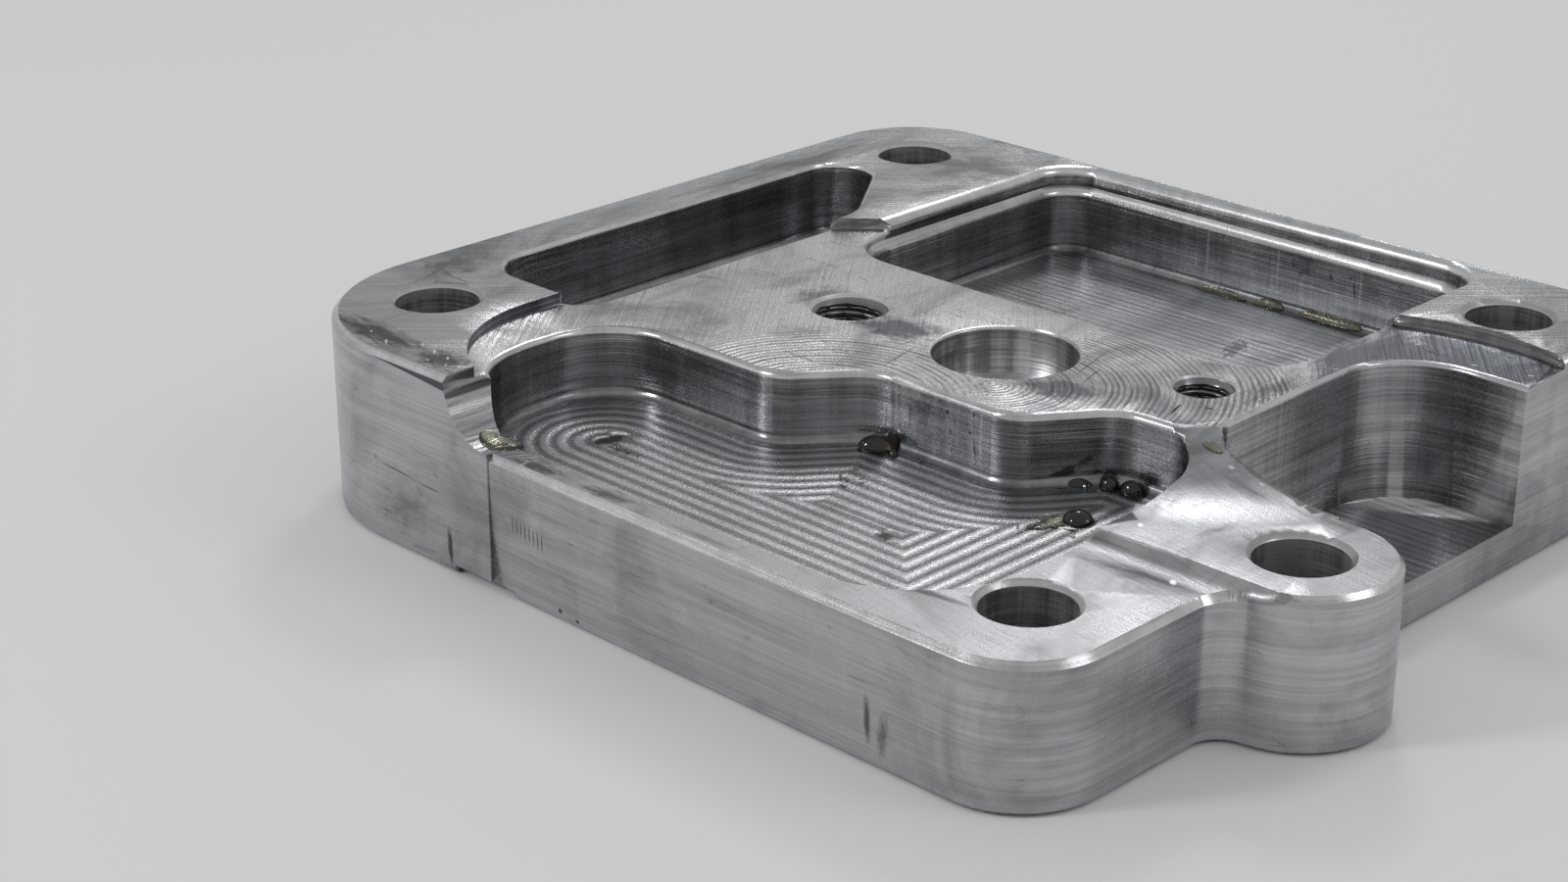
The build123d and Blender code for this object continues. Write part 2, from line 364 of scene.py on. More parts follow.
def placeLines(tree, place, angle, pitch, wander, streaks):
    turned = mapped(tree, place, rotation=(0, 0, angle))
    return placeGroup(tree, "lines", turned, Pitch=pitch, Wander=wander, Streaks=streaks)["Height"]


def placeArcs(tree, place, arcs):
    centred = mapped(tree, place, location=(-arcs["x"], -arcs["y"], 0))
    return placeGroup(tree, "arcs", centred, Outer=arcs["outer"], Pitch=arcs["pitch"])


def lineMarks(angle, pitch, wander=0.2, streaks=0.4):
    def marks(tree, place):
        height = placeLines(tree, place, angle, pitch, wander, streaks)
        return height, toTone(tree, height)
    return marks


def wallMarks(bands):
    def marks(tree, place):
        lines = placeGroup(tree, "wall", place, Bands=bands)
        return lines["Height"], lines["Tone"]
    return marks


# Web: arcs that follow the wavy rim on the left and arcs past the centre bore on the right, in metres
webArcs = {
    "left": {"x": 0.047, "y": 0.010, "outer": 0.0215, "pitch": 0.00082},
    "right": {"x": 0.057, "y": 0.0245, "outer": 0.031, "pitch": 0.00064},
    "seamFrom": 0.056, "seamTo": 0.061,
}


def webMarks(tree, place):
    left, right = placeArcs(tree, place, webArcs["left"]), placeArcs(tree, place, webArcs["right"])
    skim = placeLines(tree, place, 0.9, 0.0009, 0.8, 0.75)
    split = splitNode(tree, place)
    sway = mathNode(tree, "MULTIPLY", noiseNode(tree, place, 120, 2), 0.006)
    side = mathNode(tree, "ADD", split[0], sway)
    side = remap(tree, side, webArcs["seamFrom"], webArcs["seamTo"])
    faint = mathNode(tree, "MULTIPLY", skim, 0.8)
    first = blendValue(tree, left["Reach"], faint, left["Height"])
    second = blendValue(tree, right["Reach"], faint, right["Height"])
    bold = placeMarks(tree, place, webBold)
    patchy = remap(tree, noiseNode(tree, place, 70, 2), 0.4, 0.6, 0.7, 1.0)
    fade = mathNode(tree, "MULTIPLY", patchy, remap(tree, bold, 0.0, 1.0, 0.85, 1.35))
    height = mathNode(tree, "MULTIPLY", blendValue(tree, side, first, second), fade)
    return height, remap(tree, height, -0.95, -0.05)


# Shelf: a smooth skim, with a patch of slanted steps beside the ramp's foot
stepPatch = [(25.4, -10.4, 9.6, 6.4, 0, 1.0, 0.12, 0.2)]


def shelfMarks(tree, place):
    skim = placeLines(tree, place, 0.17, 0.0009, 1.2, 0.75)
    steps = placeLines(tree, place, -1.0, 0.00078, 0.25, 0.15)
    patch = placeMarks(tree, place, stepPatch)
    skim, steps = mathNode(tree, "MULTIPLY", skim, 0.4), mathNode(tree, "MULTIPLY", steps, 3.6)
    height = blendValue(tree, patch, skim, steps)
    return height, toTone(tree, height)


# Pocket rings: fine lines along each ring, from the distance to the pocket wall kept on the mesh
def ringMarks(tree, place):
    reach = newNode(tree, "ShaderNodeAttribute", attribute_name="reach").outputs["Fac"]
    crest = newNode(tree, "ShaderNodeAttribute", attribute_name="crest").outputs["Fac"]
    fine = mathNode(tree, "SINE", mathNode(tree, "MULTIPLY", reach, math.tau / 0.29))
    sand = remap(tree, noiseNode(tree, place, 6500, 2, 0.6), 0.32, 0.68, -1.0, 1.0, smooth=False)
    fine, coarse = mathNode(tree, "MULTIPLY", fine, 0.35), mathNode(tree, "MULTIPLY", sand, 0.8)
    height = mathNode(tree, "ADD", fine, coarse)
    # crests painted lighter and troughs darker: painted highlight and painted shade over the real rings
    crest = remap(tree, crest, 0.22, 0.78)
    tone = mathNode(tree, "ADD", crest, mathNode(tree, "MULTIPLY", sand, 0.16), clamp=True)
    return height, tone


# What a finish looks like: grain is the depth of its marks in metres, contrast how far they darken it
def lookOf(tone, dark, **values):
    plain = {"rough": 0.3, "clouds": 0.5, "spots": 0.3, "scratch": 0.4, "grain": 6e-6, "contrast": 0.2,
             "speckle": 0.5, "metal": 1.0}
    return {"tone": tone, "dark": dark, **plain, **values}


pale = (0.50, 0.505, 0.52)
middle = (0.50, 0.51, 0.53)
# walls take a darker tone than the tops: painted shade
wallShadeTone = (0.40, 0.405, 0.42)
# dark taken by stains and by the painted shade in some stain lists
stainAndShadeDark = (0.06, 0.065, 0.075)

# Marks at known places: x, y, length, width in mm, turn in degrees, strength, ragged, soft.
# On upright faces the second number is the height.
webBold = [
    (64.5, 30.0, 17, 20, 0, 1.0, 0.3, 0.6), (38.5, 17.0, 24, 14, 30, 1.0, 0.3, 0.6),
    (76.5, 42.0, 8, 24, 8, 1.0, 0.3, 0.6), (50.0, 23.0, 18, 8, 0, 0.8, 0.3, 0.7),
]
# dark patches on the web; the two large ones near x 75 to 99, y 45 to 71 darken a whole arm of it
webDarkPatches = [
    (39.0, 29.8, 13, 7.5, 8, 0.95, 0.45, 0.55), (26.5, 31.5, 7, 8, 0, 0.8, 0.5, 0.7),
    (62.5, 28.4, 12, 7.5, 8, 0.9, 0.35, 0.55), (33.0, 22.0, 9, 5, 40, 0.5, 0.6, 0.8),
    (24.0, 13.0, 12, 3, 20, 0.5, 0.5, 0.8), (87.0, 62.0, 24, 17, 8, 0.95, 0.25, 0.3),
    (24.0, 17.0, 7, 13, 20, 0.55, 0.6, 0.9), (77.6, 43.5, 6, 17, 5, 0.8, 0.45, 0.8),
    (20.0, 36.0, 4, 14, 0, 0.45, 0.6, 0.9), (70.0, 52.0, 12, 5, -10, 0.5, 0.6, 0.9),
    (79.0, 58.0, 10, 26, 5, 0.9, 0.4, 0.45), (14.0, 24.0, 2.6, 18, 3, 0.5, 0.5, 0.8),
]
# painted highlights: thin bright lines on the web
webPaintedHighlights = [
    (83.6, 60.4, 0.9, 0.3, 25, 0.8, 0.3, 0.5), (87.9, 62.8, 0.7, 0.3, 10, 0.8, 0.3, 0.5),
    (91.4, 60.6, 1.1, 0.25, 12, 0.8, 0.3, 0.5), (86.2, 58.2, 0.8, 0.3, -10, 0.7, 0.3, 0.5),
    (80.4, 63.9, 0.6, 0.4, 0, 0.7, 0.3, 0.5), (93.5, 64.2, 0.8, 0.3, 30, 0.7, 0.3, 0.5),
    (78.6, 52.0, 0.9, 0.25, 60, 0.7, 0.3, 0.5), (76.9, 47.2, 0.7, 0.3, 70, 0.7, 0.3, 0.5),
    (68.6, 44.9, 0.9, 0.3, 20, 0.6, 0.3, 0.5),
]
webCuts = [
    (60.0, 36.2, 8.2, 0.16, -76, 1.0, 0.15, 0.5), (62.3, 33.4, 5.6, 0.16, -74, 1.0, 0.15, 0.5),
    (44.8, 24.2, 7.9, 0.15, -77, 0.9, 0.2, 0.5), (42.8, 27.2, 4.6, 0.14, 84, 0.8, 0.2, 0.5),
    (73.8, 32.0, 3.2, 0.34, -73, 1.0, 0.1, 0.4), (76.0, 34.4, 0.9, 0.5, 10, 0.9, 0.3, 0.4),
    (59.0, 38.5, 2.2, 0.13, 20, 0.8, 0.2, 0.5), (61.2, 31.4, 1.8, 0.13, 70, 0.8, 0.2, 0.5),
]
bossStains = [
    (4.5, -11.3, 19, 4.4, -4, 0.95, 0.55, 0.6), (15.0, -11.5, 8, 4.5, 0, 0.9, 0.5, 0.6),
    (-7.5, 8.0, 7, 14, 25, 0.8, 0.6, 0.8), (-7.0, 62.0, 7, 40, 0, 0.75, 0.6, 0.8),
    (10, 76, 26, 16, 0, 0.75, 0.6, 0.8), (85.5, 67.5, 15, 11, 0, 0.7, 0.4, 0.5),
]
# painted highlights: short bright dashes near the front edge of the boss
bossPaintedHighlights = [
    (6.9, -12.2, 1.6, 0.34, -38, 1.0, 0.3, 0.5), (3.4, -11.4, 0.8, 0.3, -38, 0.9, 0.3, 0.5),
    (10.3, -10.2, 1.3, 0.3, -40, 0.9, 0.3, 0.5), (12.7, -10.6, 1.5, 0.35, -42, 1.0, 0.3, 0.5),
    (15.2, -10.9, 1.2, 0.3, -40, 0.9, 0.3, 0.5), (14.1, -12.6, 0.7, 0.3, -35, 0.9, 0.3, 0.5),
    (16.6, -12.3, 0.8, 0.25, -50, 0.9, 0.3, 0.5), (11.4, -9.3, 0.9, 0.25, -45, 0.8, 0.3, 0.5),
]
shelfStainsAndShade = [
    # first row is painted shade: a dark band along the soft step between the pad and the shelf
    (88.5, 8.9, 22, 4.4, 3, 0.95, 0.3, 0.9), (81.9, 21.6, 1.1, 5.0, 14, 0.4, 0.5, 0.8),
    (84.0, 22.6, 0.8, 3.2, -20, 0.3, 0.5, 0.8), (88.2, 19.6, 1.8, 6, -8, 0.5, 0.5, 0.9),
    (85.5, 27.6, 12, 2.6, -1, 0.55, 0.4, 0.8), (95.0, 28.4, 14, 2.4, -3, 0.5, 0.5, 0.9),
    (31.0, -12.9, 9, 2.4, 0, 0.9, 0.6, 0.6), (41.0, -12.6, 9, 1.8, 2, 0.8, 0.6, 0.6),
    (55.0, -13.0, 12, 1.2, 0, 0.5, 0.6, 0.8), (101.5, 12.0, 4, 6, 40, 0.35, 0.5, 0.9),
    (30.5, -11.4, 3.6, 2.4, -12, 0.6, 0.45, 0.7),
]
# painted highlights: small bright patches on the shelf
shelfPaintedHighlights = [
    (82.5, 15.7, 1.1, 0.6, -50, 1.0, 0.4, 0.6), (91.0, 9.6, 1.3, 0.7, -50, 0.9, 0.4, 0.6),
    (29.3, -13.2, 0.3, 2.0, 8, 0.8, 0.2, 0.5), (83.0, 28.8, 0.8, 0.5, 10, 1.0, 0.3, 0.6),
    (86.3, 29.2, 0.7, 0.4, 0, 0.9, 0.3, 0.6), (89.8, 30.1, 0.6, 0.4, 0, 0.9, 0.3, 0.6),
]
ringStains = [
    (26.7, 0.3, 4.4, 1.9, 73, 1.0, 0.3, 0.3), (30.3, -0.8, 6.2, 1.0, 4, 1.0, 0.7, 0.5),
    (62.7, 2.6, 2.6, 1.6, 10, 0.9, 0.5, 0.5), (71.6, 14.2, 3.4, 2.4, 60, 0.7, 0.5, 0.8),
]
frontStains = [
    (18.8, 2.8, 1.0, 4.6, 4, 0.95, 0.35, 0.5), (76.4, 4.6, 1.0, 5.4, 4, 0.8, 0.3, 0.6),
    (78.3, 3.6, 1.6, 5.0, -3, 0.6, 0.4, 0.7), (12.0, 5.0, 12, 6, 12, 0.5, 0.6, 0.9),
    (35.4, 1.1, 0.8, 0.6, 0, 0.9, 0.3, 0.5), (37.9, 0.8, 0.7, 0.5, 0, 0.9, 0.3, 0.5),
    (48.0, 3.0, 16, 1.2, 2, 0.35, 0.5, 0.9), (60.0, 9.5, 22, 1.3, -1, 0.3, 0.5, 0.9),
    (34.0, 10.5, 12, 1.0, 0, 0.3, 0.5, 0.9),
]
frontStains += [  # a row of eight short upright chatter marks
    (28.6 + 0.62 * step, 8.3 - 0.12 * step, 0.22, 2.6 - 0.22 * (step % 3), 2, 0.85, 0.25, 0.5)
    for step in range(8)
]
frontCuts = [
    (7.1, 9.2, 0.2, 1.0, 0, 0.8, 0.2, 0.5), (10.4, 8.7, 6.6, 0.2, -3, 0.8, 0.2, 0.5),
    (15.8, 8.3, 4.6, 0.2, -2, 0.7, 0.2, 0.5), (14.2, 7.4, 1.8, 0.14, -58, 0.7, 0.2, 0.5),
    (22.1, 7.9, 1.7, 0.12, -38, 0.5, 0.1, 0.4),
]

wallStains = [
    (50.7, 16.8, 0.5, 1.6, 0, 0.6, 0.7, 0.4), (52.2, 17.1, 3.6, 3.0, 0, 0.55, 0.95, 0.4),
    (55.6, 18.2, 0.5, 0.6, 20, 1.0, 0.3, 0.4), (56.0, 16.3, 0.35, 0.9, 25, 1.0, 0.3, 0.4),
    (58.6, 16.8, 0.6, 0.4, 0, 1.0, 0.3, 0.4), (59.0, 18.8, 0.3, 0.5, 0, 0.9, 0.3, 0.4),
    (59.2, 15.4, 0.3, 2.2, 12, 0.9, 0.4, 0.4), (59.1, 17.5, 0.25, 4.2, 3, 0.6, 0.7, 0.5),
    (66.9, 13.7, 2.6, 1.0, 35, 1.0, 0.6, 0.4), (68.2, 14.9, 1.6, 0.7, 40, 0.9, 0.6, 0.4),
    (69.2, 13.3, 3.6, 1.4, 0, 0.9, 0.5, 0.6), (34.5, 17.5, 0.9, 0.25, 0, 0.9, 0.3, 0.4),
    (28.5, 18.0, 5, 0.3, 2, 0.5, 0.6, 0.6), (31.5, 16.2, 6, 0.25, 0, 0.45, 0.6, 0.6),
    (36.4, 16.6, 1.4, 1.6, 0, 0.35, 0.9, 0.5), (62.5, 16.4, 6, 0.35, 0, 0.5, 0.5, 0.6),
    (64.0, 17.6, 5, 0.3, 0, 0.5, 0.5, 0.6), (47.5, 15.0, 0.4, 8, 0, 0.4, 0.4, 0.6),
]
# painted highlights: upright light streaks on the pocket wall
wallPaintedHighlights = [
    (48.7, 16.5, 0.35, 9, 0, 0.5, 0.2, 0.6), (60.0, 16.5, 0.4, 9, 0, 0.45, 0.2, 0.6),
    (38.7, 16.5, 0.5, 9, 0, 0.5, 0.2, 0.6), (26.0, 16.5, 1.4, 9, 0, 0.35, 0.3, 0.6),
]

# narrow dark bands across the ramp at x 16.6, 18.1 and 19.0
rampDarkBands = [
    (16.6, -10.5, 1.3, 14, 0, 1.0, 0.12, 0.4), (18.1, -10.5, 0.7, 14, 1, 1.0, 0.12, 0.4),
    (19.0, -10.5, 0.3, 14, 0, 0.8, 0.1, 0.4),
]
# painted highlight: a thin bright line along the top of the step face
stepPaintedHighlight = [(8, 20.55, 60, 0.26, 0, 1.0, 0.05, 0.5)]
floorStains = [
    (53.5, 70.0, 2.6, 6, 20, 0.7, 0.95, 0.4), (55.0, 74.0, 5, 1.2, 10, 0.5, 0.8, 0.5),
    (30.0, 79.5, 22, 5, 0, 0.5, 0.6, 0.9), (68.0, 62.0, 9, 16, 0, 0.5, 0.6, 0.9),
    (40.0, 60.0, 14, 2, 0, 0.35, 0.7, 0.8),
]
# painted highlights: a pale patch of sheen and small glints on the pocket floor
floorPaintedHighlights = [
    (19.0, 73.0, 14, 12, 0, 0.35, 0.5, 0.9), (53.5, 68.5, 0.6, 0.5, 0, 0.9, 0.3, 0.5),
    (54.6, 71.2, 0.7, 0.5, 0, 0.9, 0.3, 0.5),
]

flatFace = (-math.pi / 2, 0, 0)
quarter = 1.5708

makeMetal(
    "bossMilled",
    lookOf(pale, stainAndShadeDark, rough=0.30, clouds=0.75, spots=0.3, scratch=0.5, grain=1.6e-5, contrast=0.32,
           speckle=0.6),
    lineMarks(-0.80, 0.0008, 0.5, 0.55), stainsAndShade=bossStains, lights=bossPaintedHighlights)
makeMetal(
    "webMilled",
    lookOf(pale, stainAndShadeDark, rough=0.28, clouds=0.75, spots=0.4, scratch=0.5, grain=3.2e-5, contrast=0.5,
           speckle=0.2),
    webMarks, stainsAndShade=webDarkPatches, cuts=webCuts, lights=webPaintedHighlights)
makeMetal(
    "shelfMilled",
    lookOf(middle, stainAndShadeDark, rough=0.32, clouds=0.55, spots=0.2, scratch=0.3, grain=9e-6, contrast=0.22),
    shelfMarks, stainsAndShade=shelfStainsAndShade, lights=shelfPaintedHighlights)
makeMetal(
    "ringMilled",
    lookOf(middle, stainAndShadeDark, rough=0.27, clouds=0.3, scratch=0.15, grain=9e-6, contrast=0.5, speckle=0.2),
    ringMarks, stainsAndShade=ringStains)
floorLook = lookOf(
    middle, stainAndShadeDark, clouds=0.6, spots=0.4, scratch=0.3, grain=1.8e-5, contrast=0.42, speckle=0.2)
makeMetal(
    "floorMilled", floorLook, lineMarks(0.0, 0.0012, 0.3, 0.4), stainsAndShade=floorStains, lights=floorPaintedHighlights)
makeMetal("troughMilled", floorLook, lineMarks(quarter, 0.0012, 0.3, 0.5))
# pocket walls in the darker wall tone, painted shade, with painted highlight streaks
makeMetal(
    "wallCut",
    lookOf(wallShadeTone, (0.07, 0.075, 0.09), rough=0.24, spots=0.5, scratch=0.0, grain=9e-6, contrast=0.45,
           speckle=0.05),
    wallMarks(0.6), turn=flatFace, stainsAndShade=wallStains, lights=wallPaintedHighlights)
makeMetal(
    "faceCut",
    lookOf(middle, stainAndShadeDark, rough=0.26, clouds=0.35, spots=0.2, scratch=0.25, speckle=0.1),
    wallMarks(0.2), turn=flatFace, stainsAndShade=frontStains, cuts=frontCuts)
makeMetal(
    "sideCut",
    lookOf(middle, stainAndShadeDark, rough=0.26, clouds=0.4, spots=0.2, scratch=0.0, contrast=0.22, speckle=0.1),
    wallMarks(0.3))
makeMetal(
    "rimCut",
    lookOf((0.56, 0.565, 0.58), stainAndShadeDark, clouds=0.3, spots=0.2, scratch=0.0, grain=3e-6, speckle=0.05),
    wallMarks(0.3))
makeMetal(
    "rampCut",
    lookOf(pale, stainAndShadeDark, rough=0.22, clouds=0.3, spots=0.2, scratch=0.0, grain=1.4e-5, contrast=0.55,
           speckle=0.1),
    lineMarks(quarter, 0.0006, 0.8, 0.7), stainsAndShade=rampDarkBands)
# step faces between web and boss painted nearly black: painted shade
makeMetal(
    "stepCutShaded",
    lookOf((0.10, 0.105, 0.12), (0.04, 0.04, 0.05), rough=0.26, clouds=0.4, scratch=0.0, grain=5e-6,
           contrast=0.3, speckle=0.1),
    wallMarks(0.2), turn=flatFace, lights=stepPaintedHighlight)
# chamfers and broken edges painted lighter than the faces: painted highlight
makeMetal(
    "brokenEdgeSheen",
    lookOf((0.70, 0.71, 0.73), middle, rough=0.24, clouds=0.6, spots=0.4, scratch=0.0, contrast=0.3,
           speckle=0.1),
    wallMarks(0.5))
# fillets at the foot of the pocket walls painted darker: painted shade
makeMetal(
    "filletCutShaded",
    lookOf((0.30, 0.305, 0.32), stainAndShadeDark, rough=0.24, clouds=0.7, spots=0.5, scratch=0.0, grain=8e-6,
           contrast=0.5, speckle=0.1),
    wallMarks(0.5))
makeMetal(
    "boreTurned",
    lookOf((0.52, 0.525, 0.54), (0.2, 0.2, 0.22), rough=0.32, spots=0.4, scratch=0.0, contrast=0.55,
           speckle=0.02, metal=0.8),
    wallMarks(1.5))
makeMetal(
    "threadCut",
    lookOf((0.26, 0.265, 0.28), stainAndShadeDark, rough=0.26, clouds=0.4, scratch=0.0, grain=3e-6, contrast=0.3,
           speckle=0.05),
    wallMarks(0.3))
makeMetal(
    "chipMetal",
    lookOf((0.30, 0.30, 0.31), stainAndShadeDark, rough=0.2, scratch=0.0, grain=4e-6),
    wallMarks(0.3))
makeMetal(
    "baseFace",
    lookOf(middle, stainAndShadeDark, rough=0.36, scratch=0.6, grain=8e-6, contrast=0.15),
    lineMarks(0.0, 0.0016, 0.4))
print("finishes made")


def finishObject(name, shape, materials, smoothAngle=None):
    mesh = bpy.data.meshes.new(name)
    shape.to_mesh(mesh)
    shape.free()
    for material in materials:
        mesh.materials.append(material)
    if smoothAngle is not None:
        mesh.set_sharp_from_angle(angle=math.radians(smoothAngle))
    piece = bpy.data.objects.new(name, mesh)
    bpy.context.scene.collection.objects.link(piece)
    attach(piece, "root")
    return piece


# Wide plane walls are shaded flat, so that only the bends between them are smooth
def flattenPlanes(shape):
    seen = set()
    for start in shape.faces:
        if start in seen:
            continue
        seen.add(start)
        patch, ahead = [start], [start]
        while ahead:
            for edge in ahead.pop().edges:
                for face in edge.link_faces:
                    if face not in seen and face.normal.angle(start.normal, 1.0) < 0.0015:
                        seen.add(face)
                        patch.append(face)
                        ahead.append(face)
        spots = [vert.co for face in patch for vert in face.verts]
        if max((spot - spots[0]).xy.length for spot in spots) > 2.6 * mm:
            for face in patch:
                face.smooth = False


# Plate: where its faces lie decides their finish. Limits in x, y and z in mm
zones = {
    "ramp": ((12, 26.5), (-99, -6), (14.4, 99)),
    "hollow": ((70, 199), (-99, 40), (15.3, 99)),
    "padRun": ((66, 100), (3, 14), (14.55, 15.62)),
    "step": ((-99, 22), (-99, 10), (20.0, 21.1)),
}
levelFinish = {
    "boss": "bossMilled", "web": "webMilled", "pad": "shelfMilled", "shelf": "shelfMilled",
    "floor": "troughMilled", "deep": "floorMilled", "notch": "floorMilled",
}
boltBores = [(0, 0, 5.2), (0, 75.5, 5.2), (84, 75.5, 5.2), (84.5, -2.5, 5.2), (96.8, 20.8, 5.2)]
centreBore = (51.7, 32.4, 7.95)
probe = {"height": 2.5, "off": 0.0002}  # rays from this height tell outer walls from pocket walls


def inZone(name, spot):
    return all(low < value < high for (low, high), value in zip(zones[name], spot))


# A merged copy of the solid, its faces sorted into the finishes
def buildPlate():
    shape = bmesh.new()
    shape.from_mesh(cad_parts["plate"].data)
    bmesh.ops.remove_doubles(shape, verts=shape.verts, dist=1e-7)
    shape.normal_update()
    metal = BVHTree.FromBMesh(shape)
    order = list(finishes)
    lost = []
    for face in shape.faces:
        normal, centre = face.normal, face.calc_center_median() / mm
        tall, side = normal.z, Vector((normal.x, normal.y, 0))
        kind = "wallCut"
        if tall > 0.99:
            kind = levelFinish[min(levels, key=lambda key: abs(levels[key] - centre.z))]
        elif tall < -0.99:
            kind = "baseFace"
        elif abs(normal.y) < 0.1 and inZone("ramp", centre):
            kind = "rampCut"
        elif (tall > 0.75 and inZone("hollow", centre)) or (tall > -0.05 and inZone("padRun", centre)):
            kind = "shelfMilled"
        elif 0.6 < abs(tall) < 0.8 and centre.z > 13.5:
            kind = "brokenEdgeSheen"
        elif 0.15 < tall < 0.97 and centre.z < 13.5:
            kind = "filletCutShaded"
        elif inZone("step", centre):
            kind = "stepCutShaded"
        elif side.length > 0.5:
            start = Vector((centre.x, centre.y, probe["height"])) * mm + side * probe["off"]
            if metal.ray_cast(start, side)[0] is None:
                kind = "faceCut" if -normal.y > 0.7 else "sideCut"
        for x, y, reach in boltBores + [centreBore]:
            away = math.hypot(centre.x - x, centre.y - y)
            if abs(tall) < 0.5 and away < reach:
                kind = "boreTurned"
            elif 0.5 < abs(tall) < 0.9 and reach < centreBore[2] and away < reach + 0.8:
                kind = "rimCut"
        for tap in (tapLarge, tapSmall):
            away = math.hypot(centre.x - tap["x"], centre.y - tap["y"])
            if abs(tall) < 0.9 and away < tap["mouth"] + 0.1:
                lost.append(face)
        face.material_index = order.index(kind)
        face.smooth = abs(tall) < 0.9995
    flattenPlanes(shape)
    bmesh.ops.delete(shape, geom=lost, context="FACES_ONLY")
    plate = finishObject("plateBody", shape, finishes.values(), 28)
    weight = plate.modifiers.new("weight", "WEIGHTED_NORMAL")
    weight.keep_sharp = True
    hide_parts("plate")
    return metal


metalTree = buildPlate()
print("plate made")


# Thread: a tube wall spun up from one line of points, then pushed out along a helix
threadShape = {"rows": 10, "steep": 1.25, "width": 0.8}  # rows in one pitch, flank slope, groove width


def buildThread(name, tap):
    shape = bmesh.new()
    step = tap["pitch"] / threadShape["rows"]
    rows = int(tap["top"] / step)
    line = [
        shape.verts.new((tap["core"] * mm, 0, tap["top"] * mm * row / rows)) for row in range(rows + 1)
    ]
    edges = [shape.edges.new(pair) for pair in zip(line, line[1:])]
    bmesh.ops.spin(
        shape, geom=line + edges, cent=(0, 0, 0), axis=(0, 0, 1), angle=math.tau, steps=tap["columns"],
        use_merge=True)
    steep, width = threadShape["steep"], threadShape["width"]
    for vert in shape.verts:
        tall = vert.co.z / mm
        angle = math.atan2(vert.co.y, vert.co.x)
        turn = (tall / tap["pitch"] - angle / math.tau) % 1.0
        groove = min(1.0, max(0.0, steep - abs(turn - 0.5) * 2 / width * steep))
        radius = tap["core"] + tap["depth"] * groove
        cone = tap["core"] + tall - (tap["top"] - (tap["mouth"] - tap["core"]))
        radius = max(radius, cone)
        if tall < 0.01:
            radius = tap["core"]
        vert.co.x, vert.co.y = radius * mm * math.cos(angle), radius * mm * math.sin(angle)
    bmesh.ops.recalc_face_normals(shape, faces=shape.faces)
    middle = shape.faces[0].calc_center_median()
    if shape.faces[0].normal.dot(Vector((middle.x, middle.y, 0))) > 0:
        bmesh.ops.reverse_faces(shape, faces=shape.faces)
    bmesh.ops.translate(shape, verts=shape.verts, vec=(tap["x"] * mm, tap["y"] * mm, 0))
    mouthLow = tap["top"] - (tap["mouth"] - tap["core"] - tap["depth"]) * 0.9
    for face in shape.faces:
        face.smooth = True
        face.material_index = int(face.calc_center_median().z / mm > mouthLow)
    return finishObject(name, shape, [finishes["threadCut"], finishes["brokenEdgeSheen"]], 50)


buildThread("threadLarge", tapLarge)
buildThread("threadSmall", tapSmall)
print("threads made")

# Front pocket floor: cutter rings that follow the pocket wall inwards
rings = {
    "pitch": 1.74, "first": 4.2, "height": 0.085, "cell": 0.2, "lift": 0.006, "fade": 1.15, "blend": 0.6,
    "trim": 0.45, "sink": 0.03, "wobble": 0.08, "low": (15.0, -11.4), "high": (80.4, 28.6),
}
toolPath = {
    "leftX": 26.25, "leftR": 11.05, "leftMidY": -0.15, "frontY": -11.2, "rightX": 78.7, "rightY": 28.3,
    "midY": 19.2, "leftY": 10.9, "endSteps": 32, "bendSteps": 12, "shiftFrom": 60.0, "shiftRun": 15.0,
    "lobeX": 69.6, "midX": 63.0, "bayX": 45.95, "bendX": 39.35, "bendR": 5.0,
    "cornerX": 66.7, "cornerY": 2.3, "cornerR": 13.5, "wallX": 80.2,
}


# Small pits in the ring floor: x, y, spread, depth in mm (a raised burr has a depth below zero)
pits = [
    (26.5, -0.6, 0.7, 0.14), (27.0, 0.8, 0.9, 0.16), (27.5, 2.0, 0.5, 0.12),
    (25.6, 1.6, 0.12, -0.14), (28.6, -0.5, 0.06, -0.10), (29.8, -1.0, 0.05, -0.09),
    (31.2, -0.7, 0.05, -0.10), (62.7, 2.6, 0.8, 0.13), (62.0, 3.6, 0.1, -0.10),
    (63.6, 1.9, 0.08, -0.09),
]


def ringOutline():
    p = toolPath
    points = []
    for step in range(p["endSteps"] + 1):  # round left end, from the back to the front
        angle = math.radians(90 + 180 * step / p["endSteps"])
        x, y = p["leftX"] + p["leftR"] * math.cos(angle), p["leftMidY"] + p["leftR"] * math.sin(angle)
        points.append((x, y))
    points += [(p["rightX"], p["frontY"]), (p["rightX"], p["rightY"]), (p["lobeX"], p["rightY"])]
    bends = (  # the two bends that stand into the pocket: foot, then top of each slope
        (p["midX"], p["midY"], p["lobeX"], p["rightY"]),
        (p["bendX"], p["leftY"], p["bayX"], p["midY"]),
    )
    for x, y, topX, topY in bends:
        slope = math.atan2(topY - y, topX - x)
        reach = p["bendR"] * math.tan(slope / 2)
        for step in range(p["bendSteps"] + 1):
            angle = slope * (1 - step / p["bendSteps"]) - math.pi / 2
            bendX = x - reach + p["bendR"] * math.cos(angle)
            points.append((bendX, y + p["bendR"] + p["bendR"] * math.sin(angle)))
        if x == p["midX"]:
            points.append((p["bayX"], p["midY"]))
    return np.array(points)


